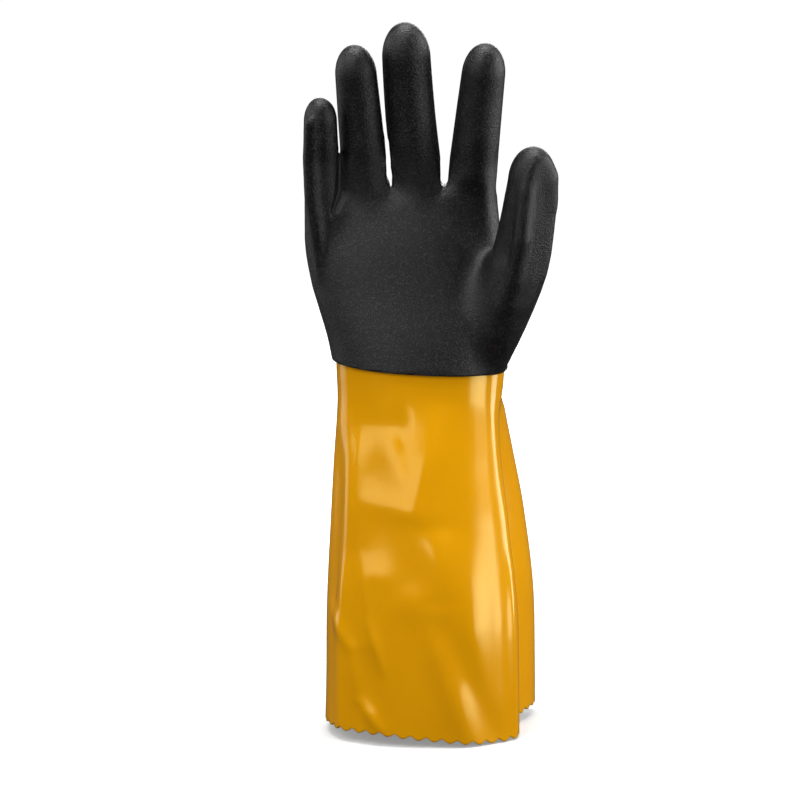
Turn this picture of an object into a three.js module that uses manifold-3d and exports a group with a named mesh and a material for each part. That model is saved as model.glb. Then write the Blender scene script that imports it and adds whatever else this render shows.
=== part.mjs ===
// A right-hand PVC coated work gauntlet, in millimetres and degrees.
// Fingers point to +Z, the palm faces -Y and the thumb is on +X. The origin is the centre of the arm opening.
// The yellow first dip is the whole hollow glove, from the scalloped hem to the fingertips.
// The black second dip is a thin coat over its hand, from the fingertips down to the dip line at the wrist.

import * as THREE from "three";
import { mergeVertices } from "three/addons/utils/BufferGeometryUtils.js";
import Module from "manifold-3d";

const wasm = await Module();
wasm.setup();

// Lengths along the glove
const cuffLength = 185; // hem to dip line
const palmLength = 90; // dip line to the webs between the fingers

// Outer sizes of the first dip
const hemWidth = 104;
const hemDepth = 88;
const wristWidth = 83;
const wristDepth = 53;
const palmWidth = 93;
const palmDepth = 33;
const palmSway = -13.5; // the hand leans towards the little finger
const knuckleTilt = 7; // the little finger's web is lower than the index finger's

// Walls
const wallThickness = 1.2;
const coatThickness = 0.8;
const coatClearance = 0.3;

// The dip line is a plane, lower at the palm and at the thumb
const dipPitch = 6.5;
const dipRoll = 3;
const dipRise = 1; // above the cuff's last section

// Scalloped hem
const scallopPitch = 7.5;
const scallopDepth = 1.9;

// The hem hangs lowest at the front of the thumb side, next to the long fold
const hemRise = 5;
const hemLowTurn = -45;
const hemLowSpread = 78;

// Thumb
const thumbWidth = 25.5;
const thumbDepth = 21;
const thumbTurn = -30; // its pad faces the palm
const thumbTip = 17; // length of its rounded end

// Little, ring, middle and index finger. wide, tip: width at the knuckle and at the tip as shares of the
// palm's width. long: length as a share of the palm's length. across, up: where the knuckle is, as shares of
// the palm. lean, curl: degrees towards +X and -Y, at the knuckle and at the tip.
const fingers = [
  { wide: 0.204, tip: 0.155, long: 1.033, across: -0.383, up: 0.48, lean: [-6, 0.5], curl: [8, 22] },
  { wide: 0.234, tip: 0.2, long: 1.089, across: -0.16, up: 0.7, lean: [-6, -4.5], curl: [4, 20] },
  { wide: 0.249, tip: 0.237, long: 1.189, across: 0.125, up: 0.72, lean: [-9, -2.8], curl: [3, 18] },
  { wide: 0.249, tip: 0.211, long: 1.128, across: 0.34, up: 0.67, lean: [5, 6], curl: [4, 19] },
];
const fingerFlatness = 0.93; // a finger's depth as a share of its width
const fingerTip = 0.78; // length of a finger's rounded end as a share of its tip width

// Finger sections. up: share of the straight length. full: size as a share of the width there.
const fingerRows = [
  { up: 0, full: 0.8 },
  { up: 0.28, full: 1 },
  { up: 0.7, full: 1 },
  { up: 1, full: 0.98 },
];

// Cuff sections. up: share of the cuff's length above the hem. wide, deep: how far the section has grown
// from wrist size (0) to hem size (1). sway: shift to +X as a share of the wrist's width.
const cuffRows = [
  { up: 0.0, wide: 1.0, deep: 1.0, sway: -0.005 },
  { up: 0.14, wide: 0.96, deep: 0.97, sway: -0.003 },
  { up: 0.36, wide: 0.88, deep: 0.86, sway: -0.007 },
  { up: 0.59, wide: 0.52, deep: 0.62, sway: -0.028 },
  { up: 0.74, wide: 0.24, deep: 0.36, sway: -0.045 },
  { up: 0.9, wide: 0.0, deep: 0.06, sway: -0.052 },
  { up: 1.0, wide: 0.05, deep: 0.0, sway: -0.052 },
];

// Palm sections. up: share of the palm's length above the dip line. wide, deep: how far the section has gone
// from wrist size (0) to palm size (1). sway: share of the hand's lean. tilt: share of the knuckles' tilt.
const palmRows = [
  { up: 0.16, wide: 0.4, deep: 0.22, sway: 0.42, tilt: 0.1 },
  { up: 0.4, wide: 0.82, deep: 0.66, sway: 0.7, tilt: 0.3 },
  { up: 0.62, wide: 1.0, deep: 0.98, sway: 0.92, tilt: 0.7 },
  { up: 0.76, wide: 1.0, deep: 1.24, sway: 1.0, tilt: 1.0 },
  { up: 0.85, wide: 0.86, deep: 1.46, sway: 1.02, tilt: 1.0 },
];
const palmEnd = 0.15; // the rounded end between the fingers, as a share of the palm's length

// Thumb sections from the wrist to the start of the rounded tip. up: share of the palm's length above the dip
// line. out, fore: shares of the palm's width and depth to +X and -Y. wide, deep: shares of the thumb's size.
const thumbRows = [
  { up: -0.06, out: 0.2, fore: 0.02, wide: 0.8, deep: 0.9 },
  { up: 0.15, out: 0.31, fore: 0.24, wide: 1.02, deep: 1.12 },
  { up: 0.4, out: 0.408, fore: 0.5, wide: 1.1, deep: 1.15 },
  { up: 0.6, out: 0.475, fore: 0.72, wide: 1.08, deep: 1.08 },
  { up: 0.78, out: 0.507, fore: 0.88, wide: 1.01, deep: 1.04 },
  { up: 0.94, out: 0.526, fore: 1.02, wide: 0.95, deep: 0.98 },
  { up: 1.04, out: 0.532, fore: 1.1, wide: 0.87, deep: 0.9 },
];

// Folds and dents of the cuff. turn: place round the section, 0 at the thumb side and 90 at the back.
// spread: half its width in degrees. from, to: its ends as shares of the cuff's length. peak: its deepest
// place. push: outward (+) or inward (-) as a share of foldDepth. crest: 0 for a round fold, 1 for a sharp one.
const foldDepth = 16.6;
const folds = [
  { turn: 36, spread: 36, from: -1.5, peak: 0.3, to: 1.15, push: 1, crest: 0.75 },
  { turn: 0, spread: 36, from: -1.2, peak: 0.3, to: 1.0, push: -0.48, crest: 0 },
  { turn: 198, spread: 20, from: 0.3, peak: 0.56, to: 0.86, push: -0.145, crest: 0 },
  { turn: 216, spread: 15, from: -0.1, peak: 0.25, to: 0.52, push: 0.13, crest: 0.4 },
  { turn: 243, spread: 20, from: 0.44, peak: 0.66, to: 0.84, push: -0.13, crest: 0 },
  { turn: 288, spread: 22, from: -0.3, peak: 0.2, to: 0.6, push: 0.11, crest: 0 },
  { turn: 144, spread: 24, from: -0.4, peak: 0.3, to: 0.9, push: -0.19, crest: 0 },
  { turn: 108, spread: 18, from: 0.0, peak: 0.4, to: 0.8, push: 0.13, crest: 0.4 },
];

// Fineness of the faceted solids
const bodyColumns = 40;
const cuffRings = 8;
const palmRings = 6;
const fingerColumns = 12;
const fingerRings = 5;
const thumbColumns = 16;
const thumbRings = 6;
const endRings = 3;
const pointsPerScallop = 4;

const sectionPower = 2.25; // 2 is an ellipse, more is squarer
const farAway = 400; // reach of the cutting blocks, past the whole glove
const radians = THREE.MathUtils.degToRad;
const fullTurn = 360;

// A smooth value of one column of a table at a place along its first column, "up".
function between(rows, key, up) {
  const last = rows.length - 1;
  let i = rows.findIndex((row) => row.up > up) - 1;
  if (i === -2) i = last - 1;
  i = Math.min(Math.max(i, 0), last - 1);
  const slope = (k) => {
    const [a, b] = [rows[Math.max(k - 1, 0)], rows[Math.min(k + 1, last)]];
    return (b[key] - a[key]) / (b.up - a.up);
  };
  const step = rows[i + 1].up - rows[i].up;
  const t = THREE.MathUtils.clamp((up - rows[i].up) / step, 0, 1);
  const [t2, t3] = [t * t, t * t * t];
  return (
    (2 * t3 - 3 * t2 + 1) * rows[i][key] +
    (t3 - 2 * t2 + t) * step * slope(i) +
    (3 * t2 - 2 * t3) * rows[i + 1][key] +
    (t3 - t2) * step * slope(i + 1)
  );
}

// How far apart two turns are, in degrees.
function turnBetween(a, b) {
  const apart = THREE.MathUtils.euclideanModulo(a - b, fullTurn);
  return Math.min(apart, fullTurn - apart);
}

// The sum of all folds at a place of the cuff.
function foldPush(turn, up) {
  let push = 0;
  for (const fold of folds) {
    const away = turnBetween(turn, fold.turn) / fold.spread;
    const end = up < fold.peak ? fold.from : fold.to;
    const along = (up - fold.peak) / (end - fold.peak);
    if (away >= 1 || along >= 1) continue;
    const round = (1 - away ** 2) ** 2;
    const sharp = (1 - away) ** 2;
    push += foldDepth * fold.push * THREE.MathUtils.lerp(round, sharp, fold.crest) * (1 - along ** 4) ** 2;
  }
  return push;
}

// One point of a rounded section, before any offset. push(turn) moves it outwards.
function outlinePoint(turn, halfWidth, halfDepth, push) {
  const [c, s] = [Math.cos(radians(turn)), Math.sin(radians(turn))];
  const round = (value) => Math.sign(value) * Math.abs(value) ** (2 / sectionPower);
  const point = new THREE.Vector2(halfWidth * round(c), halfDepth * round(s));
  const outward = new THREE.Vector2(c / halfWidth, s / halfDepth).normalize();
  return point.addScaledVector(outward, push(turn));
}

// A section's points, moved by the offset along their own normals.
function sectionPoints({ halfWidth, halfDepth, push = () => 0 }, columns, offset) {
  const step = fullTurn / columns;
  return Array.from({ length: columns }, (_, i) => {
    const [before, here, after] = [i - 0.5, i, i + 0.5].map((k) =>
      outlinePoint(k * step, halfWidth, halfDepth, push),
    );
    const along = after.sub(before).normalize();
    return here.add(new THREE.Vector2(along.y, -along.x).multiplyScalar(offset));
  });
}

// The solid through a stack of sections, closed by rounded ends of the lengths given, or flat at length 0.
// Each section has a centre, a direction along the loft, a side direction across it, and half sizes.
function loft(sections, columns, offset, start, end) {
  const rings = sections.map((section) =>
    sectionPoints(section, columns, offset).map((p) => place(section, p)),
  );
  const dome = (section, length) => {
    const outline = sectionPoints(section, columns, offset);
    return Array.from({ length: endRings - 1 }, (_, k) => {
      const angle = ((k + 1) / endRings) * (Math.PI / 2);
      const centre = section.centre.clone().addScaledVector(section.along, length * Math.sin(angle));
      return outline.map((p) => place({ ...section, centre }, p.clone().multiplyScalar(Math.cos(angle))));
    });
  };
  const [first, last] = [sections[0], sections.at(-1)];
  const reach = (length) => (length > 0 ? length + offset : 0);
  if (start > 0) rings.unshift(...dome(first, -reach(start)).reverse());
  if (end > 0) rings.push(...dome(last, reach(end)));
  const foot = first.centre.clone().addScaledVector(first.along, -reach(start));
  const tip = last.centre.clone().addScaledVector(last.along, reach(end));
  return skinRings(rings, foot, tip);
}

// A section's flat point in the part's frame.
function place(section, point) {
  const depthwise = new THREE.Vector3().crossVectors(section.along, section.side);
  return section.centre.clone().addScaledVector(section.side, point.x).addScaledVector(depthwise, point.y);
}

// A closed solid from rings of points and the two points that close its ends.
function skinRings(rings, foot, tip) {
  const columns = rings[0].length;
  const points = [...rings.flat(), foot, tip];
  const at = (ring, column) => ring * columns + (column % columns);
  const [footIndex, tipIndex] = [points.length - 2, points.length - 1];
  const triangles = [];
  for (let c = 0; c < columns; c++) {
    triangles.push(footIndex, at(0, c + 1), at(0, c));
    triangles.push(tipIndex, at(rings.length - 1, c), at(rings.length - 1, c + 1));
    for (let r = 0; r + 1 < rings.length; r++) {
      triangles.push(at(r, c), at(r, c + 1), at(r + 1, c + 1));
      triangles.push(at(r, c), at(r + 1, c + 1), at(r + 1, c));
    }
  }
  const geometry = new THREE.BufferGeometry().setFromPoints(points);
  geometry.setIndex(triangles);
  return solidOf(geometry);
}

// A manifold-3d solid from a closed three.js geometry, and back.
function solidOf(geometry) {
  const bare = geometry.clone();
  bare.deleteAttribute("normal");
  bare.deleteAttribute("uv");
  const merged = mergeVertices(bare, 1e-4);
  return new wasm.Manifold(
    new wasm.Mesh({
      numProp: 3,
      vertProperties: new Float32Array(merged.attributes.position.array),
      triVerts: new Uint32Array(merged.index.array),
    }),
  );
}

function geometryOf(solid) {
  const mesh = solid.getMesh();
  const geometry = new THREE.BufferGeometry();
  geometry.setAttribute("position", new THREE.BufferAttribute(mesh.vertProperties, 3));
  geometry.setIndex(new THREE.BufferAttribute(mesh.triVerts, 1));
  return geometry;
}

// The cuff's size at a share of its length above the hem. Below the hem it goes on straight down.
function cuffSection(up) {
  const at = Math.max(up, 0);
  const grown = (key, small, large) => (small + (large - small) * between(cuffRows, key, at)) / 2;
  return {
    centre: new THREE.Vector3(wristWidth * between(cuffRows, "sway", at), 0, cuffLength * up),
    along: new THREE.Vector3(0, 0, 1),
    side: new THREE.Vector3(1, 0, 0),
    halfWidth: grown("wide", wristWidth, hemWidth),
    halfDepth: grown("deep", wristDepth, hemDepth),
    push: (turn) => foldPush(turn, at),
  };
}

// The palm's size at a share of its length above the dip line.
function palmSection(up) {
  const dipRow = cuffRows.at(-1);
  const start = {
    up: 0,
    wide: (dipRow.wide * (hemWidth - wristWidth)) / (palmWidth - wristWidth),
    deep: 0,
    sway: (dipRow.sway * wristWidth) / palmSway,
    tilt: 0,
  };
  const value = (key) => between([start, ...palmRows], key, up);
  const tilt = radians(knuckleTilt * value("tilt"));
  return {
    centre: new THREE.Vector3(palmSway * value("sway"), 0, cuffLength + palmLength * up),
    along: new THREE.Vector3(-Math.sin(tilt), 0, Math.cos(tilt)),
    side: new THREE.Vector3(Math.cos(tilt), 0, Math.sin(tilt)),
    halfWidth: (wristWidth + (palmWidth - wristWidth) * value("wide")) / 2,
    halfDepth: (wristDepth + (palmDepth - wristDepth) * value("deep")) / 2,
  };
}

// The cuff and palm as one solid, from below the hem to the webs.
function body(offset, below) {
  const sections = [cuffSection(-below / cuffLength)];
  for (let k = 0; k < cuffRings; k++) sections.push(cuffSection(k / cuffRings));
  const palmTop = palmRows.at(-1).up;
  for (let k = 0; k <= palmRings; k++) sections.push(palmSection((palmTop * k) / palmRings));
  return loft(sections, bodyColumns, offset, 0, palmLength * palmEnd);
}

// The direction of a path that leans to +X and curls to -Y.
function heading(lean, curl) {
  return new THREE.Vector3(Math.tan(radians(lean)), -Math.tan(radians(curl)), 1).normalize();
}

// One finger, from its knuckle inside the palm to its rounded tip.
function finger(size, offset) {
  const end = palmWidth * size.tip * fingerTip;
  const straight = palmLength * size.long - end;
  const knuckle = { across: palmSway + palmWidth * size.across, up: cuffLength + palmLength * size.up };
  const centre = new THREE.Vector3(knuckle.across, 0, knuckle.up);
  const sections = [];
  for (let k = 0; k <= fingerRings; k++) {
    const share = k / fingerRings;
    const along = heading(
      THREE.MathUtils.lerp(...size.lean, share),
      THREE.MathUtils.lerp(...size.curl, share),
    );
    const tapered = THREE.MathUtils.lerp(size.wide, size.tip, share);
    const width = palmWidth * tapered * between(fingerRows, "full", share);
    sections.push({
      centre: centre.clone(),
      along,
      side: new THREE.Vector3(1, 0, 0).projectOnPlane(along).normalize(),
      halfWidth: width / 2,
      halfDepth: (width * fingerFlatness) / 2,
    });
    centre.addScaledVector(along, straight / fingerRings);
  }
  return loft(sections, fingerColumns, offset, end, end);
}

// The thumb, from the wrist over the ball of the thumb to its rounded tip.
function thumb(offset) {
  const middle = (row) =>
    new THREE.Vector3(palmWidth * row.out, -palmDepth * row.fore, cuffLength + palmLength * row.up);
  const path = new THREE.CatmullRomCurve3(thumbRows.map(middle), false, "centripetal");
  const sections = [];
  for (let k = 0; k <= thumbRings; k++) {
    const along = path.getTangent(k / thumbRings);
    const centre = path.getPoint(k / thumbRings);
    const up = (centre.z - cuffLength) / palmLength;
    const side = new THREE.Vector3(1, 0, 0).projectOnPlane(along).normalize();
    sections.push({
      centre,
      along,
      side: side.applyAxisAngle(along, radians(thumbTurn)),
      halfWidth: (thumbWidth * between(thumbRows, "wide", up)) / 2,
      halfDepth: (thumbDepth * between(thumbRows, "deep", up)) / 2,
    });
  }
  return loft(sections, thumbColumns, offset, thumbDepth / 2, thumbTip);
}

// The whole glove as one filled form, its surface moved by the offset from the first dip's outer face.
function gloveForm(offset, below) {
  return [thumb(offset), ...fingers.map((size) => finger(size, offset))].reduce(
    (whole, piece) => whole.add(piece),
    body(offset, below),
  );
}

// Everything below the scalloped hem: a block whose top rises and falls along the hem's own outline.
function belowHem() {
  const hem = cuffSection(0);
  const fine = sectionPoints(hem, 2 * fullTurn, 0);
  const lengths = [0];
  fine.forEach((p, i) => lengths.push(lengths[i] + p.distanceTo(fine[(i + 1) % fine.length])));
  const around = lengths.at(-1);
  const points = Math.round(around / scallopPitch) * pointsPerScallop;
  const rims = { inner: [], outer: [], foot: [] };
  const innerReach = hemDepth / 8; // well inside the hollow
  for (let k = 0; k < points; k++) {
    const i = lengths.findLastIndex((length) => length <= (around * k) / points);
    const direction = fine[i % fine.length].clone().normalize();
    const wave = (scallopDepth / 2) * (1 - Math.cos((2 * Math.PI * k) / pointsPerScallop));
    const away = turnBetween((i * fullTurn) / fine.length, hemLowTurn) / hemLowSpread;
    const edge = wave + hemRise * (1 - (1 - Math.min(away, 1) ** 2) ** 2);
    const rim = (reach, z) => new THREE.Vector3(hem.centre.x + direction.x * reach, direction.y * reach, z);
    rims.inner.push(rim(innerReach, edge));
    rims.outer.push(rim(hemWidth, edge));
    rims.foot.push(rim(hemWidth, -farAway));
  }
  const foot = new THREE.Vector3(hem.centre.x, 0, -farAway);
  return skinRings([rims.foot, rims.outer, rims.inner], foot, hem.centre);
}

// Everything above the dip line.
function aboveDipLine() {
  const block = new THREE.BoxGeometry(farAway, farAway, farAway);
  block.translate(0, 0, farAway / 2);
  block.rotateX(radians(dipPitch)).rotateY(radians(dipRoll));
  block.translate(0, 0, cuffLength + dipRise);
  return solidOf(block);
}

function node(name, solid, colour, roughness) {
  const material = new THREE.MeshStandardMaterial({ color: colour, roughness, metalness: 0 });
  const mesh = new THREE.Mesh(geometryOf(solid), material);
  mesh.name = name;
  return mesh;
}

// The filled forms start this far below the hem, and the hem cut trims them.
const openDepth = 2 * scallopDepth;
const firstDip = gloveForm(0, openDepth)
  .subtract(gloveForm(-wallThickness, 2 * openDepth))
  .subtract(belowHem());
const secondDip = gloveForm(coatClearance + coatThickness, openDepth)
  .subtract(gloveForm(coatClearance, 2 * openDepth))
  .intersect(aboveDipLine());

const glove = new THREE.Group();
glove.add(node("pvc_gauntlet", firstDip, 0xdd950c, 0.3));
glove.add(node("grip_coat", secondDip, 0x202024, 0.62));
export default glove;
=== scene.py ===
"""Looks of a right-hand PVC coated gauntlet: a glossy yellow first dip under a sandy black second dip."""

import math

import bmesh
import bpy
import numpy as np
import openvdb
from mathutils import Matrix, Vector


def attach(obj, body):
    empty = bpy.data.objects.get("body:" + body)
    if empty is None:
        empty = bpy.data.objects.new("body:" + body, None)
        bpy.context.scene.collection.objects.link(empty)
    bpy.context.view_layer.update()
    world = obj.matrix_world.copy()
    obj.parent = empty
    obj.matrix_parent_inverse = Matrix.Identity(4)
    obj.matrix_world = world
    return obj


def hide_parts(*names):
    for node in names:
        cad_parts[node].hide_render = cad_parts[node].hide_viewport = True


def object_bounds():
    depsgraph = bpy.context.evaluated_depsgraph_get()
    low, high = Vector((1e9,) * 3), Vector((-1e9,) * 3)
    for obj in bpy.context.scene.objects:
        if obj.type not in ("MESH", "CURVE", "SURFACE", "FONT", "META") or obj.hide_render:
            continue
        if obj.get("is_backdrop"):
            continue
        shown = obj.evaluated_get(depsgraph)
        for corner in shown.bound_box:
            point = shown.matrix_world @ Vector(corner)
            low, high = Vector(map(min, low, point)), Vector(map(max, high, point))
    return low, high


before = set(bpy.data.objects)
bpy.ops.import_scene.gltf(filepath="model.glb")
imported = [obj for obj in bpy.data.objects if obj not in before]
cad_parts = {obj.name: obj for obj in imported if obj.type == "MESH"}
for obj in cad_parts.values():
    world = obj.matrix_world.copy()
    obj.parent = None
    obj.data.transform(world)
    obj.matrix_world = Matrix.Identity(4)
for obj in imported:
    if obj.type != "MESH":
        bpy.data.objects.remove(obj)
cad_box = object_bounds()

MM = 0.001

# Sizes of the first dip, in millimetres and degrees, as in the part
CUFF_LENGTH = 185.0
PALM_LENGTH = 90.0
HEM_WIDTH = 104.0
HEM_DEPTH = 88.0
WRIST_WIDTH = 83.0
WRIST_DEPTH = 53.0
PALM_WIDTH = 93.0
PALM_DEPTH = 33.0
PALM_SWAY = -13.5
KNUCKLE_TILT = 7.0
SECTION_POWER = 2.25
WALL = 1.2

# Second dip: its thickness, its gap to the first dip, and how far its outer face is from the first dip's
COAT = 0.8
COAT_CLEARANCE = 0.3
SECOND_DIP = COAT_CLEARANCE + COAT

# Dip line and hem. The first dip's cuff goes on a little way above the dip line, under the second dip, and
# its hand starts just above that
DIP_PITCH = 6.5
DIP_ROLL = 3.0
DIP_RISE = 1.0
CUFF_UNDER_COAT = 2.5
HAND_OVER_CUFF = 0.4
SCALLOPS = 42
SCALLOP_DEPTH = 1.9
SCALLOP_FULLNESS = 0.75
HEM_RISE = 5.0
HEM_LOW_TURN = -45.0
HEM_LOW_SPREAD = 78.0

# Thumb: its size, its turn towards the palm, and how far its round tip reaches
THUMB_WIDTH = 25.5
THUMB_DEPTH = 21.0
THUMB_TURN = -30.0
THUMB_TIP = 17.0

# How the forms of the hand flow into each other. The palm's rounded end is a share of its length. The rest is
# in millimetres: how far the blends reach, and between which heights above the wrist they change
PALM_END = 0.1125
ROOT_BLEND = 3.5
FINGER_BLEND = 1.0
THUMB_BLEND = {
    "wrist": 2.0, "ball": 11.0, "crotch": 8.0,
    "to_ball": (0.0, 30.0), "to_crotch": (50.0, 75.0),
}
KNUCKLES = {
    "softness": 4.0, "passes": 3,
    "off_middle": (5.0, 10.0), "start": (30.0, 52.0), "end": (98.0, 112.0),
}

# Fineness of the meshes. The cuff's rows are a little closer together near the hem
COAT_VOXEL = 1.15
FIRST_DIP_VOXEL = 2.2
CUFF_COLUMNS = SCALLOPS * 7
OUTER_ROWS = 110
INNER_ROWS = 28
ROW_BUNCHING = 1.15
TURN_STEP = 0.6
FINE_TURNS = 3600

# The space around the hand, from the middle of the wrist, and the height below which its mesh is cut off
HAND_LOW = (-72.0, -60.0, -22.0)
HAND_HIGH = (74.0, 42.0, 182.0)
HAND_CUT = -16.0

# Limits of the distances: far from any form, the largest radius that counts, and what keeps a division safe
FAR = 1000.0
LARGEST_RADIUS = 40.0
TINY = 0.000001

# Cuff sections. up: share of the cuff's length. wide, deep: from wrist size (0) to hem size (1).
# sway: share of the wrist's width
CUFF_ROWS = {
    "up": [0.0, 0.14, 0.36, 0.59, 0.74, 0.9, 1.0],
    "wide": [1.0, 0.96, 0.88, 0.52, 0.24, 0.0, 0.05],
    "deep": [1.0, 0.97, 0.86, 0.62, 0.36, 0.06, 0.0],
    "sway": [-0.005, -0.003, -0.007, -0.028, -0.045, -0.052, -0.052],
}

# Palm sections. up: share of the palm's length. wide, deep: from wrist size (0) to palm size (1).
# sway, tilt: shares of the palm's sway and of the knuckle line's tilt
PALM_ROWS = {
    "up": [0.0, 0.16, 0.4, 0.62, 0.76, 0.85],
    "wide": [0.105, 0.4, 0.82, 1.0, 1.0, 0.86],
    "deep": [0.0, 0.22, 0.66, 0.98, 1.24, 1.46],
    "sway": [0.32, 0.42, 0.7, 0.92, 1.0, 1.02],
    "tilt": [0.0, 0.1, 0.3, 0.7, 1.0, 1.0],
}

# Thumb sections: shares of the palm's length, width and depth, and of the thumb's own sizes
THUMB_ROWS = {
    "up": [-0.06, 0.15, 0.4, 0.6, 0.78, 0.94, 1.04],
    "out": [0.2, 0.31, 0.408, 0.475, 0.507, 0.526, 0.532],
    "fore": [0.02, 0.24, 0.5, 0.72, 0.88, 1.02, 1.1],
    "wide": [0.8, 1.02, 1.1, 1.08, 1.01, 0.95, 0.87],
    "deep": [0.9, 1.12, 1.15, 1.08, 1.04, 0.98, 0.9],
}

# Fingers: width at knuckle and tip as shares of the palm's width, length as a share of the palm's length,
# the knuckle's place as shares of the palm's width and length, and the lean and curl at knuckle and tip
FINGERS = {
    "little": {"width": 0.204, "tip": 0.155, "length": 1.033, "across": -0.383, "up": 0.48,
               "lean": (-6.0, 0.5), "curl": (8.0, 22.0)},
    "ring": {"width": 0.234, "tip": 0.2, "length": 1.089, "across": -0.16, "up": 0.7,
             "lean": (-6.0, -4.5), "curl": (4.0, 20.0)},
    "middle": {"width": 0.249, "tip": 0.237, "length": 1.189, "across": 0.125, "up": 0.72,
               "lean": (-9.0, -2.8), "curl": (3.0, 18.0)},
    "index": {"width": 0.249, "tip": 0.211, "length": 1.128, "across": 0.34, "up": 0.67,
              "lean": (5.0, 6.0), "curl": (4.0, 19.0)},
}
FINGER_FLATNESS = 0.93
FINGER_TIP = 0.78
FINGER_ROWS = {"up": [0.0, 0.28, 0.7, 1.0], "full": [0.8, 1.0, 1.0, 0.98]}
STALL_STEPS = 12

# Long folds of the cuff, as in the part, at a turn around it. from, peak, to: shares of the cuff's length.
# push: share of the fold depth. crest: from a round fold (0) to a sharp one (1)
FOLD_DEPTH = 16.6
FOLDS_FADE = (0.86, 0.98)
FOLDS = [
    {"turn": 36, "spread": 36, "from": -1.5, "peak": 0.3, "to": 1.15, "push": 1.0, "crest": 0.75},
    {"turn": 0, "spread": 36, "from": -1.2, "peak": 0.3, "to": 1.0, "push": -0.48, "crest": 0.0},
    {"turn": 198, "spread": 20, "from": 0.3, "peak": 0.56, "to": 0.86, "push": -0.145, "crest": 0.0},
    {"turn": 216, "spread": 15, "from": -0.1, "peak": 0.25, "to": 0.52, "push": 0.13, "crest": 0.4},
    {"turn": 243, "spread": 20, "from": 0.44, "peak": 0.66, "to": 0.84, "push": -0.13, "crest": 0.0},
    {"turn": 288, "spread": 22, "from": -0.3, "peak": 0.2, "to": 0.6, "push": 0.11, "crest": 0.0},
    {"turn": 144, "spread": 24, "from": -0.4, "peak": 0.3, "to": 0.9, "push": -0.19, "crest": 0.0},
    {"turn": 108, "spread": 18, "from": 0.0, "peak": 0.4, "to": 0.8, "push": 0.13, "crest": 0.4},
]

# Small wrinkles: x and z of both ends on the front of the cuff, half width across, and push, in millimetres.
# They fade out where the cuff turns away from the front
WRINKLES_FADE = (4.0, 14.0)
WRINKLES = [
    {"a": (-16, 170), "b": (-12, 134), "half": 4.0, "push": -0.7},
    {"a": (-40, 157), "b": (-8, 155), "half": 9.0, "push": -1.3},
    {"a": (6, 170), "b": (-8, 110), "half": 7.0, "push": 1.1},
    {"a": (-38, 121), "b": (6, 113), "half": 6.0, "push": 0.6},
    {"a": (4, 108), "b": (4, 72), "half": 8.0, "push": 1.4},
    {"a": (-20, 74), "b": (12, 68), "half": 9.0, "push": 1.0},
    {"a": (-4, 70), "b": (20, -6), "half": 5.5, "push": 1.1},
    {"a": (8, 66), "b": (34, -6), "half": 6.0, "push": -1.1},
    {"a": (-34, 96), "b": (-30, 56), "half": 3.0, "push": 0.7},
    {"a": (-31, 64), "b": (-22, 34), "half": 2.6, "push": 0.9},
    {"a": (-50, 68), "b": (-37, 44), "half": 3.0, "push": 1.0},
    {"a": (-38, 52), "b": (-35, 18), "half": 3.0, "push": 1.1},
    {"a": (-31, 50), "b": (-28, 16), "half": 4.5, "push": -0.8},
    {"a": (-36, 24), "b": (-22, 4), "half": 3.2, "push": 1.1},
    {"a": (36, 172), "b": (41, 95), "half": 2.2, "push": 0.7},
    {"a": (40, 100), "b": (44, -4), "half": 2.0, "push": 0.8},
]

# Crests, and below them grooves, of the hand: points in millimetres, a radius at each point, the reach of the
# blend, and for a gap that goes right through, how many times deeper than wide it is
CRESTS = [
    {"points": [(49, -42.6, 287), (46.4, -43.6, 275), (44.4, -40.4, 251), (41.2, -33.8, 231), (34, -21, 206)],
     "radii": [2.2, 2.8, 3.2, 3.2, 2.6], "reach": 2.0},
    {"points": [(56.6, -35.5, 280.5), (57.2, -32, 268)], "radii": [3.2, 2.0], "reach": 5.0},
    {"points": [(40, -26, 234), (38.5, -24, 219), (34.5, -19.5, 203), (32, -15, 191)],
     "radii": [4.5, 6.0, 5.5, 4.5], "reach": 9.0},
    {"points": [(-57.6, -26.5, 307), (-58.2, -19.8, 289), (-57.6, -14.8, 269), (-55, -11, 249),
                (-52, -7, 229)],
     "radii": [2.2, 2.8, 2.8, 2.4, 2.0], "reach": 2.4},
    {"points": [(-43.4, -7, 286), (-43.8, -2, 268)], "radii": [1.4, 2.8], "reach": 3.0},
]
GROOVES = [
    {"points": [(0.6, -24.6, 322), (0.6, -20.6, 308), (3.2, -14.5, 288), (5.8, -11, 272)],
     "radii": [0.6, 0.9, 0.9, 0.6], "reach": 1.6},
    {"points": [(-43, -14, 290), (-43.6, -11.5, 272), (-47, -12, 263)],
     "radii": [1.2, 1.6, 1.0], "reach": 3.0},
    {"points": [(-20.7, -6, 297), (-20.3, -4, 288), (-19.8, -2, 279)],
     "radii": [0.5, 0.8, 1.3], "reach": 1.0, "deep": 12.0},
    {"points": [(7.4, -3, 286), (7.2, -2, 277)], "radii": [1.6, 1.6], "reach": 1.5, "deep": 9.0},
]

# The hollow of the palm beside the thumb, carved before the thumb is joined on
PALM_HOLLOW = {"points": [(20, -27.5, 266), (29, -28, 252)], "radii": [15.0, 15.0], "reach": 6.0}

# The flat outer face of the thumb: a point on it, the way it faces, and the reach of its rounded edges
THUMB_FACE = {"point": (45.9, -46.4, 275.0), "facing": (0.515, -0.826, -0.23), "reach": 2.0}

# Colours, linear
YELLOW = (0.74, 0.325, 0.0014)
YELLOW_DEEP = (0.68, 0.29, 0.0014)
YELLOW_SHINE = (1.0, 0.95, 0.42)
CUT_EDGE = (0.85, 0.5, 0.08)
BLACK = (0.003, 0.003, 0.0036)
# Paler colour of the grains' tops: a painted glint
BLACK_GRAIN_GLINT = (0.024, 0.024, 0.027)

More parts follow.
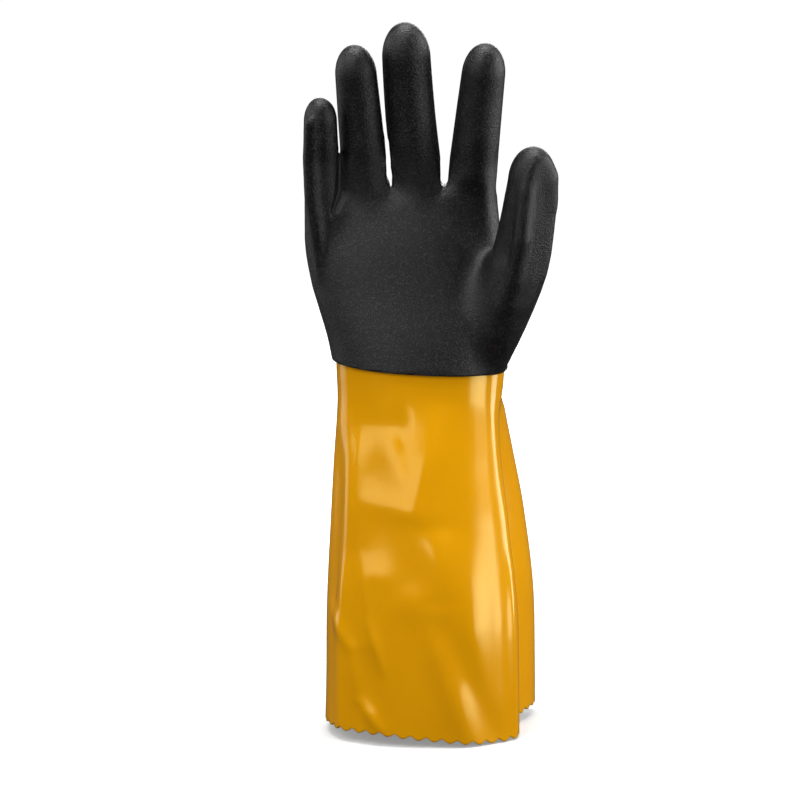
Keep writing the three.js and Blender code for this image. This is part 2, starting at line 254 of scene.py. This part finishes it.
# Roughness of each dip, and what smears, the cut hem and worn patches add to it
ROUGHNESS = {"yellow": 0.13, "smears": 0.06, "cut": 0.4, "black": 0.32, "patches": 0.06}
BLACK_SHINE = 0.38
CLOUD_SHARE = 0.6

# Heights of the bumps in metres, and the rows of knit a metre that show through the first dip
YELLOW_BUMPS = {"waves": 0.0007, "orange_peel": 0.00005, "knit": 0.000008}
BLACK_BUMPS = {"grit": 0.0003, "sand": 0.00016}
KNIT_ROWS = 1000.0

# Camera of the photo
CAMERA_AIM = (-14.5, 0.0, 167.0)
CAMERA_ELEVATION = 8.0
CAMERA_DISTANCE = 1600.0
CAMERA_LENS = 144.0
CAMERA_SENSOR = 36.0
CAMERA_RANGE = 200.0

# Floor: half its width and how far it is below the hem, in millimetres, and its glow, which is dimmer near
# the glove, so that the shadow under it shows. The reach of the dim middle is in metres
FLOOR_HALF = 30000.0
FLOOR_DROP = 0.4
FLOOR_COLOUR = (0.6, 0.6, 0.6)
FLOOR_ROUGHNESS = 0.9
FLOOR_NEAR_GLOW = (0.25, 0.25, 0.25)
FLOOR_FAR_GLOW = (1.0, 1.0, 1.0)
FLOOR_GLOW_REACH = (0.3, 0.6)

# Studio: soft boxes in metres and watts, turned towards the middle of the glove. One that doesn't shine only
# lights, and leaves no highlight
STUDIO_AIM = (0.0, 0.0, 0.18)
SOFT_BOXES = [
    {"name": "key", "place": (-0.9, -1.2, 1.5), "size": (1.0, 1.0), "power": 17.0},
    {"name": "front_left", "place": (-0.78, -1.23, 0.44), "size": (1.3, 0.3), "power": 4.1},
    {"name": "front_right", "place": (0.7, -1.5, 1.0), "size": (0.8, 0.8), "power": 6.0, "shines": False},
    {"name": "right_strip", "place": (1.3, -0.62, 0.35), "size": (0.6, 1.1), "power": 4.0},
    {"name": "top", "place": (0.0, -0.1, 1.5), "size": (1.2, 0.7), "power": 26.0},
    {"name": "low_right", "place": (1.0, -0.6, 0.06), "size": (0.6, 0.3), "power": 3.2},
    {"name": "back", "place": (0.2, 1.6, 0.9), "size": (1.0, 1.0), "power": 14.0},
    {"name": "left_strip", "place": (-1.3, -0.15, 0.52), "size": (0.6, 0.5), "power": 2.8},
    {"name": "left_back", "place": (-1.2, 0.55, 0.5), "size": (0.7, 1.2), "power": 4.0},
    {"name": "right_back", "place": (1.3, 0.25, 0.5), "size": (0.5, 1.2), "power": 15.0},
]
ROOM_LIGHT = 0.05


def curve(rows, key, at):
    """A smooth value of one column of a table, at places along its column "up"."""
    ups, values = np.array(rows["up"]), np.array(rows[key])
    before = np.concatenate([[0], np.arange(len(ups) - 1)])
    after = np.concatenate([np.arange(1, len(ups)), [len(ups) - 1]])
    slopes = (values[after] - values[before]) / (ups[after] - ups[before])
    at = np.clip(at, ups[0], ups[-1])
    i = np.clip(np.searchsorted(ups, at, side="right") - 1, 0, len(ups) - 2)
    step = ups[i + 1] - ups[i]
    t = (at - ups[i]) / step
    return (
        (2 * t**3 - 3 * t**2 + 1) * values[i]
        + (t**3 - 2 * t**2 + t) * step * slopes[i]
        + (3 * t**2 - 2 * t**3) * values[i + 1]
        + (t**3 - t**2) * step * slopes[i + 1]
    )


def fade(value, start, full):
    """0 up to the start, 1 from full on, smooth in between."""
    t = np.clip((value - start) / (full - start), 0.0, 1.0)
    return t * t * (3 - 2 * t)


def turn_between(a, b):
    """How far apart two turns are, in degrees."""
    return np.abs((a - b + 180.0) % 360.0 - 180.0)


def fold_push(turn, up):
    """How far the long folds move the cuff's surface outwards."""
    push = np.zeros(np.broadcast(turn, up).shape)
    for fold in FOLDS:
        away = np.minimum(turn_between(turn, fold["turn"]) / fold["spread"], 1.0)
        below = (fold["peak"] - up) / (fold["peak"] - fold["from"])
        above = (up - fold["peak"]) / (fold["to"] - fold["peak"])
        along = np.clip(np.where(up < fold["peak"], below, above), 0.0, 1.0)
        shape = (1 - away**2) ** 2 * (1 - fold["crest"]) + (1 - away) ** 2 * fold["crest"]
        push = push + FOLD_DEPTH * fold["push"] * shape * (1 - along**4) ** 2
    return push * (1 - fade(up, *FOLDS_FADE))


def wrinkle_push(x, y, z):
    """How far the small wrinkles of the front move the cuff's surface outwards."""
    push = np.zeros(x.shape)
    for wrinkle in WRINKLES:
        a, b = np.array(wrinkle["a"], float), np.array(wrinkle["b"], float)
        line = b - a
        t = ((x - a[0]) * line[0] + (z - a[1]) * line[1]) / (line @ line)
        away = ((x - a[0]) * line[1] - (z - a[1]) * line[0]) / np.linalg.norm(line)
        along = np.clip(1 - (2 * t - 1) ** 2, 0.0, 1.0)
        push = push + wrinkle["push"] * np.exp(-((away / wrinkle["half"]) ** 2)) * along
    return push * fade(-y, *WRINKLES_FADE)


def cuff_section(up):
    """Half width, half depth and sway of the cuff at a share of its length above the hem."""
    at = np.maximum(up, 0.0)
    half_width = (WRIST_WIDTH + (HEM_WIDTH - WRIST_WIDTH) * curve(CUFF_ROWS, "wide", at)) / 2
    half_depth = (WRIST_DEPTH + (HEM_DEPTH - WRIST_DEPTH) * curve(CUFF_ROWS, "deep", at)) / 2
    return half_width, half_depth, WRIST_WIDTH * curve(CUFF_ROWS, "sway", at)


def cuff_points(turn, z, offset):
    """Points of the cuff's surface at turns and heights, moved by an offset along the section's normals."""
    up = z / CUFF_LENGTH

    def outline(at_turn):
        half_width, half_depth, sway = cuff_section(up)
        angle = np.radians(at_turn)
        c, s = np.cos(angle), np.sin(angle)
        power = 2.0 / SECTION_POWER
        x = half_width * np.sign(c) * np.abs(c) ** power
        y = half_depth * np.sign(s) * np.abs(s) ** power
        nx, ny = c / half_width, s / half_depth
        length = np.hypot(nx, ny)
        push = fold_push(at_turn, up) + wrinkle_push(x + sway, y, z)
        return x + sway + nx / length * push, y + ny / length * push

    x, y = outline(turn)
    x0, y0 = outline(turn - TURN_STEP)
    x1, y1 = outline(turn + TURN_STEP)
    tx, ty = x1 - x0, y1 - y0
    length = np.hypot(tx, ty)
    return x + ty / length * offset, y - tx / length * offset


def even_turns(count):
    """Turns that are evenly spaced along the hem's own outline."""
    fine = np.linspace(0.0, 360.0, FINE_TURNS + 1)
    x, y = cuff_points(fine, np.zeros_like(fine), 0.0)
    lengths = np.concatenate([[0.0], np.cumsum(np.hypot(np.diff(x), np.diff(y)))])
    return np.interp(np.arange(count) / count * lengths[-1], lengths, fine)


def hem_height(turn, share):
    """Height of the scalloped hem: round lobes that hang down, lowest at the front of the thumb side."""
    lobe = 0.5 - 0.5 * np.cos(2 * np.pi * SCALLOPS * share)
    away = np.minimum(turn_between(turn, HEM_LOW_TURN) / HEM_LOW_SPREAD, 1.0)
    return SCALLOP_DEPTH * (1 - lobe**SCALLOP_FULLNESS) + HEM_RISE * (1 - (1 - away**2) ** 2)


def dip_height(x, y, lift=0.0):
    """Height of the tilted dip line above a place."""
    pitch, roll = math.radians(DIP_PITCH), math.radians(DIP_ROLL)
    return CUFF_LENGTH + DIP_RISE + lift + np.tan(pitch) * y - np.tan(roll) * x


def mesh_object(name, points, faces, cut_edge=None):
    """A mesh object from points in millimetres. cut_edge: 1 at points of the cut hem, 0 away from it."""
    mesh = bpy.data.meshes.new(name)
    mesh.from_pydata((np.asarray(points) * MM).tolist(), [], [list(f) for f in faces])
    mesh.validate()
    if cut_edge is not None:
        layer = mesh.attributes.new("cut_edge", "FLOAT", "POINT")
        layer.data.foreach_set("value", np.asarray(cut_edge, dtype=np.float32))
    mesh.shade_smooth()
    made = bpy.data.objects.new(name, mesh)
    bpy.context.collection.objects.link(made)
    return made


def cuff_mesh():
    """Points, faces and cut-edge values of the closed cuff, from its outer face over its top to its hem."""
    turn = even_turns(CUFF_COLUMNS)
    share = np.arange(CUFF_COLUMNS) / CUFF_COLUMNS
    low = hem_height(turn, share)
    x_dip, y_dip = cuff_points(turn, np.full_like(turn, CUFF_LENGTH), 0.0)
    high = dip_height(x_dip, y_dip, CUFF_UNDER_COAT)

    def rings(rows, offset, top_down):
        levels = np.linspace(0.0, 1.0, rows) ** ROW_BUNCHING
        if top_down:
            levels = levels[::-1]
        made = []
        for level in levels:
            z = low + (high - low) * level
            x, y = cuff_points(turn, z, offset)
            made.append(np.stack([x, y, z], axis=1))
        return made

    stack = rings(OUTER_ROWS, 0.0, False) + rings(INNER_ROWS, -WALL, True)
    points = np.concatenate(stack)
    count = len(stack)
    cut = np.zeros((count, CUFF_COLUMNS))
    cut[0], cut[-1] = 1.0, 1.0
    faces = []
    for r in range(count):
        for c in range(CUFF_COLUMNS):
            d = (c + 1) % CUFF_COLUMNS
            a, b = r * CUFF_COLUMNS, ((r + 1) % count) * CUFF_COLUMNS
            faces.append((a + c, a + d, b + d, b + c))
    return points, faces, cut.ravel()


class Field:
    """Distances to the hand's form at the points of a regular grid."""

    def __init__(self, low, high, voxel):
        self.low, self.voxel = np.array(low, float), voxel
        self.counts = np.ceil((np.array(high) - self.low) / voxel).astype(int) + 1
        axes = [self.low[i] + voxel * np.arange(self.counts[i]) for i in range(3)]
        self.x, self.y, self.z = (
            g.astype(np.float32) for g in np.meshgrid(*axes, indexing="ij", copy=False)
        )

    def surface(self, distance, level):
        """Points and four-sided faces of the surface where the distance is the level."""
        grid = openvdb.FloatGrid(background=float(distance.max()))
        grid.copyFromArray((distance - level).astype(np.float32))
        points, faces = grid.convertToQuads(0.0)
        return np.asarray(points) * self.voxel + self.low, np.asarray(faces)


def blend(a, b, reach):
    """The union of two distances, rounded where they meet."""
    near = np.maximum(reach - np.abs(a - b), 0.0) / reach
    return np.minimum(a, b) - near * near * reach * 0.25


def palm_distance(field):
    """Distance to the palm, from the wrist to the webs."""
    up = (field.z - CUFF_LENGTH) / PALM_LENGTH
    tilt = np.tan(np.radians(KNUCKLE_TILT * curve(PALM_ROWS, "tilt", up)))
    up = up - (field.x - PALM_SWAY) * tilt / PALM_LENGTH
    half_width = (WRIST_WIDTH + (PALM_WIDTH - WRIST_WIDTH) * curve(PALM_ROWS, "wide", up)) / 2
    half_depth = (WRIST_DEPTH + (PALM_DEPTH - WRIST_DEPTH) * curve(PALM_ROWS, "deep", up)) / 2
    x = np.abs(field.x - PALM_SWAY * curve(PALM_ROWS, "sway", up)) / half_width + TINY
    y = np.abs(field.y) / half_depth + TINY
    z = np.maximum(up - PALM_ROWS["up"][-1], 0.0) / PALM_END
    power = SECTION_POWER
    level = (x**power + y**power + z**power) ** (1 / power)
    steep = np.sqrt(
        (x ** (power - 1) / half_width) ** 2
        + (y ** (power - 1) / half_depth) ** 2
        + (z ** (power - 1) / (PALM_LENGTH * PALM_END)) ** 2
    ) * level ** (1 - power)
    return (level - 1) / np.maximum(steep, 1 / FAR)


def stall_distance(field, sections, start, end):
    """Distance to a finger stall through its sections, with rounded ends of the lengths given."""
    best = np.full(field.x.shape, FAR, np.float32)
    last = len(sections) - 2
    for k, (a, b) in enumerate(zip(sections, sections[1:])):
        line = b["centre"] - a["centre"]
        length = line.length
        along = line / length
        side = (a["side"] - along * a["side"].dot(along)).normalized()
        deep = along.cross(side)
        rx, ry, rz = (g - c for g, c in zip((field.x, field.y, field.z), a["centre"]))
        w = rx * along.x + ry * along.y + rz * along.z
        t = np.clip(w / length, 0.0, 1.0)
        u = rx * side.x + ry * side.y + rz * side.z
        v = rx * deep.x + ry * deep.y + rz * deep.z
        half_width = a["half_width"] + (b["half_width"] - a["half_width"]) * t
        half_depth = a["half_depth"] + (b["half_depth"] - a["half_depth"]) * t
        beyond = w - t * length
        reach = np.where(beyond > 0, end if k == last else half_depth, start if k == 0 else half_depth)
        level = np.sqrt((u / half_width) ** 2 + (v / half_depth) ** 2 + (beyond / reach) ** 2) + TINY
        steep = np.sqrt((u / half_width**2) ** 2 + (v / half_depth**2) ** 2 + (beyond / reach**2) ** 2)
        best = np.minimum(best, (level - 1) * level / np.maximum(steep, TINY + level / LARGEST_RADIUS))
    return best


def finger_sections(size):
    """Sections of one finger, from its knuckle inside the palm to the start of its rounded tip."""
    straight = PALM_LENGTH * size["length"] - PALM_WIDTH * size["tip"] * FINGER_TIP
    centre = Vector((
        PALM_SWAY + PALM_WIDTH * size["across"],
        0.0,
        CUFF_LENGTH + PALM_LENGTH * size["up"],
    ))
    sections = []
    for k in range(STALL_STEPS + 1):
        share = k / STALL_STEPS
        lean = math.radians(size["lean"][0] + (size["lean"][1] - size["lean"][0]) * share)
        curl = math.radians(size["curl"][0] + (size["curl"][1] - size["curl"][0]) * share)
        along = Vector((math.tan(lean), -math.tan(curl), 1.0)).normalized()
        tapered = size["width"] + (size["tip"] - size["width"]) * share
        width = PALM_WIDTH * tapered * float(curve(FINGER_ROWS, "full", np.array(share)))
        sections.append({
            "centre": centre.copy(),
            "side": Vector((1.0, 0.0, 0.0)),
            "half_width": width / 2,
            "half_depth": width * FINGER_FLATNESS / 2,
        })
        centre += along * (straight / STALL_STEPS)
    return sections


def thumb_sections():
    """Sections of the thumb, from the wrist over the ball of the thumb to the start of its rounded tip."""
    ups = np.linspace(THUMB_ROWS["up"][0], THUMB_ROWS["up"][-1], STALL_STEPS + 1)
    value = {key: curve(THUMB_ROWS, key, ups) for key in ("out", "fore", "wide", "deep")}
    centres = [
        Vector((PALM_WIDTH * value["out"][k], -PALM_DEPTH * value["fore"][k], CUFF_LENGTH + PALM_LENGTH * up))
        for k, up in enumerate(ups)
    ]
    sections = []
    for k, centre in enumerate(centres):
        along = (centres[min(k + 1, STALL_STEPS)] - centres[max(k - 1, 0)]).normalized()
        side = Vector((1.0, 0.0, 0.0))
        side = (side - along * side.dot(along)).normalized()
        side.rotate(Matrix.Rotation(math.radians(THUMB_TURN), 3, along))
        sections.append({
            "centre": centre,
            "side": side,
            "half_width": float(THUMB_WIDTH * value["wide"][k] / 2),
            "half_depth": float(THUMB_DEPTH * value["deep"][k] / 2),
        })
    return sections


def ridge(points, radii, deep):
    """Sections of a thin line through points. deep: its depth as a share of its width."""
    return [
        {"centre": Vector(p), "side": Vector((1.0, 0.0, 0.0)), "half_width": r, "half_depth": r * deep}
        for p, r in zip(points, radii)
    ]


def line_distance(field, line):
    """Distance to a crest or groove with round ends."""
    radii = line["radii"]
    return stall_distance(field, ridge(line["points"], radii, line.get("deep", 1.0)), radii[0], radii[-1])


def soften_knuckles(field, hand):
    """The distance to the hand with both faces of the knuckle line smoothed, and the webs left sharp."""
    steps = max(int(round(KNUCKLES["softness"] / field.voxel)), 1)
    height = field.z - CUFF_LENGTH
    soft = hand
    for axis in range(3):
        for _ in range(KNUCKLES["passes"]):
            total = sum(np.roll(soft, step, axis) for step in range(-steps, steps + 1))
            soft = total / (2 * steps + 1)
    share = fade(np.abs(field.y), *KNUCKLES["off_middle"])
    share = share * fade(height, *KNUCKLES["start"]) * (1 - fade(height, *KNUCKLES["end"]))
    return hand + (soft - hand) * share


def carve(field, hand, groove):
    """The distance to the hand once a groove is cut into it."""
    return -blend(-hand, line_distance(field, groove) - SECOND_DIP, groove["reach"])


def hand_distance(field):
    """Distance to the outer face of the first dip over the whole hand."""
    palm = palm_distance(field)
    stalls = []
    for size in FINGERS.values():
        end = PALM_WIDTH * size["tip"] * FINGER_TIP
        stalls.append(blend(palm, stall_distance(field, finger_sections(size), end, end), ROOT_BLEND))
    hand = stalls[0]
    for stall in stalls[1:]:
        hand = blend(hand, stall, FINGER_BLEND)
    hand = soften_knuckles(field, hand)
    hand = carve(field, hand, PALM_HOLLOW)
    thumb = stall_distance(field, thumb_sections(), THUMB_DEPTH / 2, THUMB_TIP)
    grid = (field.x, field.y, field.z)
    face = sum(n * (g - p) for n, g, p in zip(THUMB_FACE["facing"], grid, THUMB_FACE["point"]))
    thumb = -blend(-thumb, -face, THUMB_FACE["reach"])
    wrist, ball, crotch = (THUMB_BLEND[key] for key in ("wrist", "ball", "crotch"))
    height = field.z - CUFF_LENGTH
    reach = wrist + (ball - wrist) * fade(height, *THUMB_BLEND["to_ball"])
    reach = reach - (ball - crotch) * fade(height, *THUMB_BLEND["to_crotch"])
    hand = blend(hand, thumb, reach)
    for crest in CRESTS:
        hand = blend(hand, line_distance(field, crest), crest["reach"])
    for groove in GROOVES:
        hand = carve(field, hand, groove)
    return hand


def cut_above(points, faces, lift):
    """What is above the dip line of a mesh of the hand, as a bmesh in millimetres."""
    mesh = bpy.data.meshes.new("hand")
    mesh.from_pydata(points.tolist(), [], faces.tolist())
    work = bmesh.new()
    work.from_mesh(mesh)
    bpy.data.meshes.remove(mesh)
    place = Vector((0.0, 0.0, float(dip_height(0.0, 0.0, lift))))
    pitch, roll = math.radians(DIP_PITCH), math.radians(DIP_ROLL)
    normal = Vector((math.tan(roll), -math.tan(pitch), 1.0)).normalized()
    everything = work.verts[:] + work.edges[:] + work.faces[:]
    bmesh.ops.bisect_plane(work, geom=everything, plane_co=place, plane_no=normal, clear_inner=True)
    return work


def shell_arrays(work, thickness):
    """Points and faces of a closed wall: the surface of a bmesh, and its copy moved inwards."""
    bmesh.ops.recalc_face_normals(work, faces=work.faces)
    work.normal_update()
    work.verts.index_update()
    outer = [v.co.copy() for v in work.verts]
    inner = [v.co - v.normal * thickness for v in work.verts]
    count = len(outer)
    faces = [[v.index for v in f.verts] for f in work.faces]
    back = [[i + count for i in reversed(f)] for f in faces]
    rim = []
    for edge in work.edges:
        if len(edge.link_faces) == 1:
            loop = edge.link_faces[0].loops
            a, b = edge.verts[0].index, edge.verts[1].index
            order = [corner.vert.index for corner in loop]
            if order[(order.index(a) + 1) % len(order)] != b:
                a, b = b, a
            rim.append([b, a, a + count, b + count])
    work.free()
    return np.array([tuple(p) for p in outer + inner]), faces + back + rim


def hand_shell(voxel, offset, thickness, lift):
    """Points and faces of one dip over the hand. offset: from the first dip. lift: above the dip line."""
    wrist = np.array([0.0, 0.0, CUFF_LENGTH])
    field = Field(wrist + HAND_LOW, wrist + HAND_HIGH, voxel)
    points, faces = field.surface(hand_distance(field), offset)
    work = cut_above(points, faces, lift)
    low = [v for v in work.verts if v.co.z < CUFF_LENGTH + HAND_CUT]
    bmesh.ops.delete(work, geom=low, context="VERTS")
    return shell_arrays(work, thickness)


class Maths:
    """A shader value whose arithmetic makes Math nodes."""

    def __init__(self, tree, socket):
        self.tree, self.socket = tree, socket

    def _math(self, operation, other=None):
        made = self.tree.nodes.new("ShaderNodeMath")
        made.operation = operation
        self.tree.links.new(self.socket, made.inputs[0])
        if isinstance(other, Maths):
            self.tree.links.new(other.socket, made.inputs[1])
        elif other is not None:
            made.inputs[1].default_value = other
        return Maths(self.tree, made.outputs[0])

    def __add__(self, other):
        return self._math("ADD", other)

    def __mul__(self, other):
        return self._math("MULTIPLY", other)

    def __pow__(self, other):
        return self._math("POWER", other)

    def sine(self):
        return self._math("SINE")

    def between(self, low, high):
        """0 below the low value, 1 above the high one, smooth in between."""
        made = self.tree.nodes.new("ShaderNodeMapRange")
        made.interpolation_type = "SMOOTHSTEP"
        self.tree.links.new(self.socket, made.inputs["Value"])
        made.inputs["From Min"].default_value = low
        made.inputs["From Max"].default_value = high
        return Maths(self.tree, made.outputs["Result"])


class Finish:
    """A material with one Principled shader, and short ways to its nodes."""

    def __init__(self, name):
        self.material = bpy.data.materials.new(name)
        self.material.use_nodes = True
        self.tree = self.material.node_tree
        self.shader = self.tree.nodes["Principled BSDF"]

    def node(self, kind, **settings):
        made = self.tree.nodes.new(kind)
        for key, value in settings.items():
            setattr(made, key, value)
        return made

    def feed(self, made, **inputs):
        """Sets or links a node's inputs by name, with _ for a space, and gives the node back."""
        for key, value in inputs.items():
            socket = made.inputs[key.replace("_", " ")]
            if isinstance(value, Maths):
                self.tree.links.new(value.socket, socket)
            elif isinstance(value, bpy.types.NodeSocket):
                self.tree.links.new(value, socket)
            else:
                socket.default_value = value
        return made

    def place(self, scale=(1.0, 1.0, 1.0)):
        coordinates = self.node("ShaderNodeTexCoord")
        mapping = self.feed(self.node("ShaderNodeMapping"), Vector=coordinates.outputs["Object"], Scale=scale)
        return mapping.outputs["Vector"]

    def noise(self, scale, detail=2.0, rough=0.5, stretch=(1.0, 1.0, 1.0)):
        made = self.feed(
            self.node("ShaderNodeTexNoise"),
            Vector=self.place(stretch), Scale=scale, Detail=detail, Roughness=rough,
        )
        return Maths(self.tree, made.outputs[0])

    def along(self, axis):
        """The place along one axis, "X", "Y" or "Z", in metres."""
        made = self.feed(self.node("ShaderNodeSeparateXYZ"), Vector=self.place())
        return Maths(self.tree, made.outputs[axis])

    def attribute(self, name):
        made = self.node("ShaderNodeAttribute", attribute_name=name)
        return Maths(self.tree, made.outputs["Fac"])

    def mix(self, factor, a, b):
        made = self.node("ShaderNodeMix", data_type="RGBA")
        self.tree.links.new(factor.socket, made.inputs[0])
        for socket, value in ((made.inputs[6], a), (made.inputs[7], b)):
            if isinstance(value, bpy.types.NodeSocket):
                self.tree.links.new(value, socket)
            else:
                socket.default_value = (*value, 1.0)
        return made.outputs[2]

    def bump(self, height, distance, normal=None):
        made = self.feed(self.node("ShaderNodeBump"), Height=height, Distance=distance, Strength=1.0)
        if normal is not None:
            self.tree.links.new(normal, made.inputs["Normal"])
        return made.outputs["Normal"]


def yellow_pvc():
    """Glossy dipped PVC: an even warm yellow, faint knit lines, a soft orange peel and a paler cut edge."""
    finish = Finish("yellow_pvc")
    cut = finish.attribute("cut_edge").between(low=0.35, high=0.95)
    cloudy = finish.noise(scale=18.0, detail=3.0).between(low=0.35, high=0.7)
    colour = finish.mix(cloudy * CLOUD_SHARE, YELLOW, YELLOW_DEEP)
    colour = finish.mix(cut, colour, CUT_EDGE)
    smears = finish.noise(scale=60.0, detail=3.0, rough=0.6, stretch=(1.0, 1.0, 0.35))
    smears = smears.between(low=0.3, high=0.75)
    rows = (finish.along("Z") * (2 * math.pi * KNIT_ROWS)).sine()
    knit = rows * finish.noise(scale=40.0).between(low=0.45, high=0.7)
    waves = finish.noise(scale=26.0, detail=1.0, stretch=(1.0, 1.0, 0.6))
    orange_peel = finish.noise(scale=160.0, detail=1.0)
    normal = finish.bump(waves, YELLOW_BUMPS["waves"])
    normal = finish.bump(orange_peel, YELLOW_BUMPS["orange_peel"], normal)
    normal = finish.bump(knit, YELLOW_BUMPS["knit"], normal)
    finish.feed(
        finish.shader,
        Base_Color=colour,
        Roughness=smears * ROUGHNESS["smears"] + cut * ROUGHNESS["cut"] + ROUGHNESS["yellow"],
        Specular_Tint=(*YELLOW_SHINE, 1.0),
        Normal=normal,
    )
    return finish.material


def black_grip():
    """Sandy second dip: fine grains with a dull shine, their tops painted paler as a painted glint."""
    finish = Finish("black_grip")
    sand = finish.noise(scale=2400.0, detail=1.0)
    grit = finish.noise(scale=1250.0, rough=0.6)
    patches = finish.noise(scale=28.0).between(low=0.35, high=0.7)
    # The grit's high places get the paler colour: a painted glint on the grain tops
    colour = finish.mix(grit.between(low=0.48, high=0.7), BLACK, BLACK_GRAIN_GLINT)
    normal = finish.bump(grit, BLACK_BUMPS["grit"])
    normal = finish.bump(sand, BLACK_BUMPS["sand"], normal)
    finish.feed(
        finish.shader,
        Base_Color=colour,
        Roughness=patches * ROUGHNESS["patches"] + ROUGHNESS["black"],
        Specular_IOR_Level=BLACK_SHINE,
        Normal=normal,
    )
    return finish.material


def pvc_gauntlet():
    """The first dip: the cuff with its scalloped hem, and the hand behind the second dip."""
    points, faces, cut = cuff_mesh()
    hand_points, hand_faces = hand_shell(FIRST_DIP_VOXEL, 0.0, WALL, CUFF_UNDER_COAT + HAND_OVER_CUFF)
    moved = [[i + len(points) for i in face] for face in hand_faces]
    cut = np.concatenate([cut, np.zeros(len(hand_points))])
    made = mesh_object("pvc_gauntlet_looks", np.concatenate([points, hand_points]), faces + moved, cut)
    made.data.materials.append(yellow_pvc())
    return made


def grip_coat():
    """The second dip over the hand, down to the dip line."""
    points, faces = hand_shell(COAT_VOXEL, SECOND_DIP, COAT, 0.0)
    made = mesh_object("grip_coat_looks", points, faces)
    made.data.materials.append(black_grip())
    return made


def floor_finish():
    """Matte and pale, with a glow that keeps it white away from the glove."""
    finish = Finish("floor")
    x, y = finish.along("X"), finish.along("Y")
    away = (x * x + y * y) ** 0.5
    glow = finish.mix(away.between(*FLOOR_GLOW_REACH), FLOOR_NEAR_GLOW, FLOOR_FAR_GLOW)
    finish.feed(
        finish.shader,
        Base_Color=(*FLOOR_COLOUR, 1.0),
        Roughness=FLOOR_ROUGHNESS,
        Emission_Color=glow,
        Emission_Strength=1.0,
    )
    return finish.material


def pale_floor():
    """A wide floor that takes the glove's shadow, but neither shows in it nor lights it."""
    mesh = bpy.data.meshes.new("floor")
    half = FLOOR_HALF * MM
    corners = [(-half, -half, 0), (half, -half, 0), (half, half, 0), (-half, half, 0)]
    mesh.from_pydata(corners, [], [(0, 1, 2, 3)])
    made = bpy.data.objects.new("floor", mesh)
    made.location.z = -FLOOR_DROP * MM
    bpy.context.collection.objects.link(made)
    mesh.materials.append(floor_finish())
    made.visible_glossy = False
    made.visible_diffuse = False
    return made


def soft_box(box):
    """A rectangular area light."""
    light = bpy.data.lights.new(box["name"], "AREA")
    light.shape = "RECTANGLE"
    light.size, light.size_y = box["size"]
    light.energy = box["power"]
    made = bpy.data.objects.new(box["name"], light)
    made.location = box["place"]
    aim = Vector(STUDIO_AIM) - Vector(box["place"])
    made.rotation_euler = aim.to_track_quat("-Z", "Y").to_euler()
    made.visible_glossy = box.get("shines", True)
    bpy.context.collection.objects.link(made)


def studio():
    """The soft boxes, and a little even light from all sides."""
    for box in SOFT_BOXES:
        soft_box(box)
    world = bpy.data.worlds.new("studio")
    world.use_nodes = True
    background = world.node_tree.nodes["Background"]
    background.inputs["Color"].default_value = (1.0, 1.0, 1.0, 1.0)
    background.inputs["Strength"].default_value = ROOM_LIGHT
    bpy.context.scene.world = world


def photo_camera():
    """The camera that sees the glove as the photo does."""
    camera = bpy.data.cameras.new("photo")
    camera.lens = CAMERA_LENS
    camera.sensor_width = CAMERA_SENSOR
    camera.clip_end = CAMERA_RANGE
    made = bpy.data.objects.new("photo", camera)
    rise = math.radians(CAMERA_ELEVATION)
    aim = Vector(CAMERA_AIM)
    back = Vector((0.0, -math.cos(rise), math.sin(rise))) * CAMERA_DISTANCE
    made.location = (aim + back) * MM
    made.rotation_euler = (math.radians(90.0) - rise, 0.0, 0.0)
    bpy.context.collection.objects.link(made)
    bpy.context.scene.camera = made


def numbers(value):
    return [numbers(v) for v in value] if hasattr(value, "__len__") else float(value)


gauntlet = pvc_gauntlet()
coat = grip_coat()
for piece, node, slot in ((gauntlet, "pvc_gauntlet", "yellow_pvc"), (coat, "grip_coat", "black_grip")):
    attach(piece, "root")
    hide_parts(node)
pale_floor()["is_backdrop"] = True
studio()
photo_camera()
bpy.context.scene.view_settings.view_transform = "Standard"
{"cad": numbers(cad_box), "final": numbers(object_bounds())}
